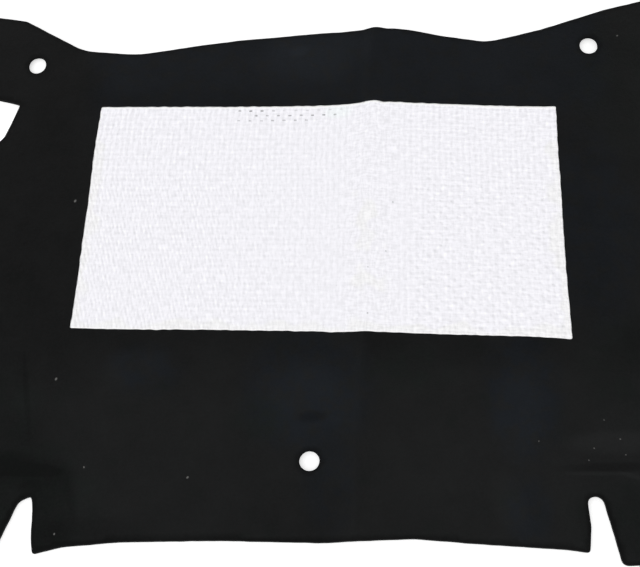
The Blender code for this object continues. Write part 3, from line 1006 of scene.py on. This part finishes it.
def net_over(box, pitch):
    """A net of squares over the pad, closer together along X at the fold."""
    sides = box[1] - box[0]
    middle = (box[0] + box[1]) / 2
    net = bmesh.new()
    bmesh.ops.create_grid(
        net, x_segments=round(sides.x / pitch), y_segments=round(sides.y / pitch), size=0.5,
    )
    bmesh.ops.scale(net, vec=(sides.x, sides.y, 1), verts=net.verts)
    bmesh.ops.translate(net, vec=(middle.x, middle.y, 0), verts=net.verts)
    for vert in net.verts:
        offset = vert.co.x - track(vert.co.y)[0]
        vert.co.x -= NET_CLOSER * offset * hump(offset, NET_CLOSER_REACH)
    return net


def felt_sheet(settings):
    """The pad's outline filled flat: squares inside, and a strip of triangles along each cut edge."""
    rings = cut_line(settings.rim_pitch, settings.rim_raggedness)
    net = net_over(PAD_BOX, settings.net_pitch)
    drop_outside(net, rings, settings.rim_radius + NET_MARGIN_SHARE * settings.net_pitch)
    flat = bpy.data.meshes.new("flat")
    net.to_mesh(flat)
    rings.from_mesh(flat)
    bpy.data.meshes.remove(flat)
    net.free()
    rim = [edge for edge in rings.edges if len(edge.link_faces) < 2]
    bmesh.ops.triangle_fill(rings, use_beauty=True, use_dissolve=False, edges=rim)
    return rings


def felt_mesh(settings):
    solid = felt_sheet(settings)
    raised = bmesh.ops.extrude_face_region(solid, geom=solid.faces[:])["geom"]
    raised = [item for item in raised if isinstance(item, bmesh.types.BMVert)]
    bmesh.ops.translate(solid, verts=raised, vec=(0, 0, settings.thickness))
    bmesh.ops.recalc_face_normals(solid, faces=solid.faces)
    rim = [edge for edge in solid.edges if len({is_level(face) for face in edge.link_faces}) == 2]
    bmesh.ops.bevel(
        solid, geom=rim, offset=settings.rim_radius, segments=3, profile=0.5, affect="EDGES",
        clamp_overlap=False, material=-1,
    )
    # Mark the rounded cut edges, where the felt's colour gets painted shade
    near_rim = solid.verts.layers.float.new(RIM_SHADE_MAP)
    for vert in solid.verts:
        vert[near_rim] = float(not all(is_level(face) for face in vert.link_faces))
    for vert in solid.verts:
        x, y, z = vert.co
        share = z / settings.thickness
        press = settings.hole_press * hole_press(x, y) * (1 - share)
        vert.co.z = z + press + lift(x, y, settings) + top_detail(x, y, settings) * share
    for face in solid.faces:
        face.smooth = True
    mesh = bpy.data.meshes.new("felt")
    solid.to_mesh(mesh)
    solid.free()
    return mesh


class HOODPAD_OT_felt(bpy.types.Operator):
    """Cut the felt pad, raise its folds and creases, and give it its nap"""

    bl_idname = "hood_pad.felt"
    bl_label = "Felt pad"

    def execute(self, context):
        settings = context.scene.hood_pad_felt
        pad = show("felt_pad_dressed", felt_mesh(settings), felt_finish(settings))
        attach(pad, "root")
        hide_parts("felt_pad")
        return {"FINISHED"}


def foil_sheet(settings):
    """The foil as a flat net of squares that fit its embossing, with its corners nipped off."""
    step = settings.pitch / CELLS_PER_PITCH
    cells = [2 * round(side / 2 / step) for side in (settings.width, settings.depth)]
    sheet = bmesh.new()
    bmesh.ops.create_grid(sheet, x_segments=cells[0], y_segments=cells[1], size=0.5)
    bmesh.ops.scale(sheet, vec=(settings.width, settings.depth, 1), verts=sheet.verts)
    corners = [vert for vert in sheet.verts if len(vert.link_edges) == 2]
    bmesh.ops.bevel(
        sheet, geom=corners, offset=settings.corner_cut, segments=3, profile=0.5, affect="VERTICES",
        material=-1,
    )
    bmesh.ops.recalc_face_normals(sheet, faces=sheet.faces)
    if sum(face.normal.z for face in sheet.faces) < 0:
        bmesh.ops.reverse_faces(sheet, faces=sheet.faces)
    flat = sheet.loops.layers.uv.new(SHEET_MAP)
    for face in sheet.faces:
        face.smooth = True
        for loop in face.loops:
            loop[flat].uv = loop.vert.co.xy
    return sheet


def cut_shift(u, v, settings):
    """How far a point of the foil lies off its place in a true rectangle."""
    right_share = u / settings.width + 0.5
    rear_share = v / settings.depth + 0.5
    left, right = read_off(FOIL_LEFT_SIDE, v)[0], read_off(FOIL_RIGHT_SIDE, v)[0]
    front, rear = read_off(FOIL_FRONT_SIDE, u)[0], read_off(FOIL_REAR_SIDE, u)[0]
    return Vector((left + (right - left) * right_share, front + (rear - front) * rear_share, 0))


def emboss(u, v, settings):
    """Height of the embossing, up and down in turn at each crossing of its lattice."""
    row = v + max(0.0, u - ROW_DROP_FROM) * ROW_DROP
    return settings.emboss * cos(pi * u / settings.pitch) * cos(pi * row / settings.pitch)


def crumple(place, settings):
    """Height of the crumpled foil on the fold."""
    spot = Vector((place.x * CRUMPLES[0], place.y * CRUMPLES[1], 1.9))
    return settings.crumple * (abs(noise.noise(spot)) + 0.5 * abs(noise.noise(spot * FINER_CRUMPLES)))


def foil_mesh(settings, felt):
    """Top face of the foil, embossed on the flat and then laid over the felt."""
    sheet = foil_sheet(settings)
    centre = (FOIL_BOX[0] + FOIL_BOX[1]) / 2
    to_pad = Matrix.Translation((centre.x, centre.y, 0)) @ Matrix.Rotation(settings.turn, 4, "Z")
    for vert in sheet.verts:
        u, v, _ = vert.co
        place = to_pad @ (vert.co + cut_shift(u, v, settings))
        on_fold = 1 - smooth(abs(fold_offset(place.x, place.y)), *EMBOSS_FOLD_RANGE)
        patch = noise.noise(Vector((place.x * EMBOSS_PATCHES, place.y * EMBOSS_PATCHES, 6.0)))
        raised = emboss(u, v, settings) * (1 - EMBOSS_PATCH_LOSS * smooth(patch, -0.2, 0.5))
        height = raised * (1 - EMBOSS_FOLD_LOSS * on_fold) + crumple(place, settings) * on_fold
        stray = Vector((noise.noise(place * STRAY_SCALE), noise.noise(place * STRAY_SCALE + STRAY_SHIFT), 0))
        vert.co = place + stray * STRAY
        vert.co.z = felt.thickness + lift(place.x, place.y, felt) + settings.stand_off + height
    mesh = bpy.data.meshes.new("foil")
    sheet.to_mesh(mesh)
    sheet.free()
    return mesh


class HOODPAD_OT_foil(bpy.types.Operator):
    """Emboss the heat-shield foil and lay it over the felt"""

    bl_idname = "hood_pad.foil"
    bl_label = "Heat-shield foil"

    def execute(self, context):
        settings = context.scene.hood_pad_foil
        mesh = foil_mesh(settings, context.scene.hood_pad_felt)
        foil = show("heat_shield_foil_dressed", mesh, foil_finish(settings))
        wall = foil.modifiers.new("foil_thickness", "SOLIDIFY")
        wall.thickness = settings.thickness
        wall.offset = -1
        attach(foil, "root")
        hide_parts("heat_shield_foil")
        return {"FINISHED"}


def make_camera(settings):
    lens = bpy.data.cameras.new("photo_camera")
    lens.lens = settings.camera_lens
    lens.sensor_fit = "HORIZONTAL"
    lens.sensor_width = 36
    lens.clip_start = 0.01
    lens.clip_end = 50
    camera = bpy.data.objects.new("photo_camera", lens)
    bpy.context.scene.collection.objects.link(camera)
    place = Vector(settings.camera_place)
    aim = (Vector(settings.camera_target) - place).to_track_quat("-Z", "Y")
    roll = Matrix.Rotation(settings.camera_roll, 4, "Z")
    camera.matrix_world = Matrix.Translation(place) @ aim.to_matrix().to_4x4() @ roll
    bpy.context.scene.camera = camera


def make_floor(settings):
    sheet = bmesh.new()
    bmesh.ops.create_grid(sheet, x_segments=2, y_segments=2, size=FLOOR_HALF_SIZE)
    bmesh.ops.translate(sheet, verts=sheet.verts, vec=(0, 0, PACKED_BOX[0].z - FLOOR_GAP))
    mesh = bpy.data.meshes.new("floor")
    sheet.to_mesh(mesh)
    sheet.free()
    finish = Finish("pale_floor")
    finish.put(finish.shader.inputs["Base Color"], opaque(settings.floor_colour))
    finish.put(finish.shader.inputs["Roughness"], 0.9)
    finish.shader.inputs["Specular IOR Level"].default_value = 0.0
    seen = seen_directly(finish)
    glow = finish.node("ShaderNodeEmission", None, (1, 1, 1, 1), seen * settings.floor_glow)
    both = finish.node("ShaderNodeAddShader", None, Wire(finish, finish.shader.outputs[0]), glow)
    finish.put(finish.tree.nodes["Material Output"].inputs["Surface"], both)
    show("floor", mesh, finish.owner)


def seen_directly(finish):
    """1 for rays from the camera, in reflections and through glass, 0 for the rest."""
    rays = finish.node("ShaderNodeLightPath").socket.node
    picked = [Wire(finish, rays.outputs[f"Is {kind} Ray"]) for kind in ("Camera", "Glossy", "Transmission")]
    return finish.node("ShaderNodeClamp", None, picked[0] + picked[1] + picked[2])


def make_sky(settings):
    world = bpy.data.worlds.new("studio")
    bpy.context.scene.world = world
    finish = Finish("studio", world)
    finish.tree.nodes.clear()
    seen = seen_directly(finish)
    strength = seen + (1 - seen) * settings.sky_strength
    sky = finish.node("ShaderNodeBackground", None, (1, 1, 1, 1), strength)
    end = finish.tree.nodes.new("ShaderNodeOutputWorld")
    finish.put(end.inputs["Surface"], sky)


def make_lamp(settings):
    """One large soft lamp, aimed at the pad's middle and left out of what the foil mirrors."""
    light = bpy.data.lights.new("key_lamp", "AREA")
    light.shape = "DISK"
    light.size = settings.key_size
    light.energy = settings.key_power
    lamp = bpy.data.objects.new("key_lamp", light)
    bpy.context.scene.collection.objects.link(lamp)
    lamp.location = settings.key_place
    lamp.rotation_mode = "QUATERNION"
    lamp.rotation_quaternion = (-lamp.location).to_track_quat("-Z", "Y")
    lamp.visible_glossy = False


class HOODPAD_OT_stage(bpy.types.Operator):
    """Set up the camera, the floor, the sky and the soft lamp"""

    bl_idname = "hood_pad.stage"
    bl_label = "Studio"

    def execute(self, context):
        settings = context.scene.hood_pad_stage
        make_camera(settings)
        make_floor(settings)
        make_sky(settings)
        make_lamp(settings)
        context.scene.view_settings.view_transform = "Standard"
        return {"FINISHED"}


class HOODPAD_PT_panel(bpy.types.Panel):
    """The pad's pieces, one button each"""

    bl_idname = "HOODPAD_PT_panel"
    bl_label = "Hood pad"
    bl_space_type = "VIEW_3D"
    bl_region_type = "UI"
    bl_category = "Hood pad"

    def draw(self, context):
        for operator, settings in STEPS:
            box = self.layout.box()
            group = getattr(context.scene, settings)
            for name in group.__annotations__:
                box.prop(group, name)
            box.operator(operator)


STEPS = (
    ("hood_pad.stage", "hood_pad_stage"),
    ("hood_pad.felt", "hood_pad_felt"),
    ("hood_pad.foil", "hood_pad_foil"),
)
GROUPS = {
    "hood_pad_felt": FeltSettings,
    "hood_pad_foil": FoilSettings,
    "hood_pad_stage": StageSettings,
}
CLASSES = (HOODPAD_OT_stage, HOODPAD_OT_felt, HOODPAD_OT_foil, HOODPAD_PT_panel)


def register():
    for name, group in GROUPS.items():
        bpy.utils.register_class(group)
        setattr(bpy.types.Scene, name, PointerProperty(type=group))
    for made in CLASSES:
        bpy.utils.register_class(made)


def unregister():
    for made in reversed(CLASSES):
        bpy.utils.unregister_class(made)
    for name, group in GROUPS.items():
        delattr(bpy.types.Scene, name)
        bpy.utils.unregister_class(group)


def main():
    register()
    bpy.ops.hood_pad.stage()
    bpy.ops.hood_pad.felt()
    bpy.ops.hood_pad.foil()


if __name__ == "__main__":
    main()
